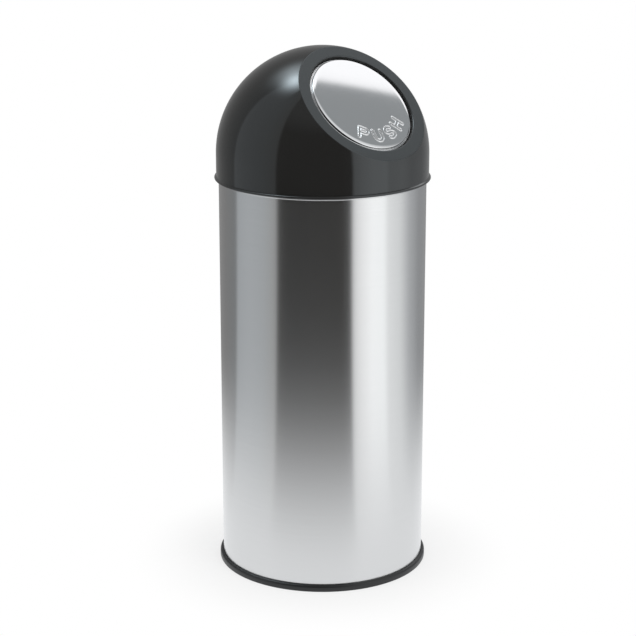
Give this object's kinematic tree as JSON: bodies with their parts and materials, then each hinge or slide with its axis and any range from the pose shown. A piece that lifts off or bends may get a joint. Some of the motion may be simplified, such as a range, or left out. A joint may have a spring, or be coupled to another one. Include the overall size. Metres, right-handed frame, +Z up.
{
  "type": "push-flap litter bin",
  "caption": "Round steel litter bin with a black lift-off dome lid, a sprung round push flap in the dome's slanted face, and a lift-out metal liner with a bail handle.",
  "frame": {"origin": "centre of the base ring's underside, where the bin stands on the ground", "axes": "+Z up along the body's axis, -Y is the front, towards which the push flap faces, +X is to the right of someone who faces the flap"},
  "size_m": [0.31, 0.31, 0.77],
  "materials": {
    "brushed_body": "satin, brushed round the body",
    "black_enamel": "gloss",
    "black_plastic": "satin moulded",
    "black_rubber": "matt",
    "satin_flap": "fine satin",
    "grey_enamel": "semi-gloss",
    "zinc_plated_steel": "bright zinc plate",
    "spring_steel": "oiled wire",
    "galvanised_steel": "galvanised"
  },
  "bodies": {
    "bin_body": {"outer_body": "brushed_body", "body_floor": "galvanised_steel", "base_ring": "black_plastic", "base_screws": "zinc_plated_steel", "base_nuts": "zinc_plated_steel"},
    "lid": {"lid_dome": "black_enamel", "lid_collar": "black_plastic", "opening_trim": "black_rubber", "hinge_axle": "zinc_plated_steel", "axle_clips": "zinc_plated_steel", "hinge_bracket_left": "grey_enamel", "hinge_bracket_right": "grey_enamel", "bracket_studs": "zinc_plated_steel", "bracket_nuts": "zinc_plated_steel", "flap_spring_left": "spring_steel", "flap_spring_right": "spring_steel"},
    "flap": {"flap_face": "satin_flap", "flap_backing": "grey_enamel", "flap_ears": "grey_enamel"},
    "liner": {"liner_wall": "galvanised_steel", "liner_floor": "galvanised_steel", "handle_lug_left": "galvanised_steel", "handle_lug_right": "galvanised_steel", "lug_rivets": "zinc_plated_steel"},
    "handle": {"liner_handle": "zinc_plated_steel", "handle_grip": "black_plastic"}
  },
  "joints": [
    {"name": "lid_lift", "type": "slide", "parent": "bin_body", "child": "lid", "axis": [0, 0, 1], "range_m": [0, 1]},
    {"name": "flap_hinge", "type": "hinge", "parent": "lid", "child": "flap", "pos_m": [0, -0.01023, 0.75123], "axis": [1, 0, 0], "range_deg": [0, 70], "stiffness_Nm_per_rad": 0.35, "springref_deg": -57.3, "deforming": ["flap_spring_left", "flap_spring_right"]},
    {"name": "liner_lift", "type": "slide", "parent": "bin_body", "child": "liner", "axis": [0, 0, 1], "range_m": [0, 0.6]},
    {"name": "handle_swing", "type": "hinge", "parent": "liner", "child": "handle", "pos_m": [0, 0, 0.5235], "axis": [1, 0, 0], "range_deg": [0, 180]}
  ],
  "couplings": [
    {"joint": "liner_lift", "follows": "lid_lift", "ratio": 0.6}
  ]
}
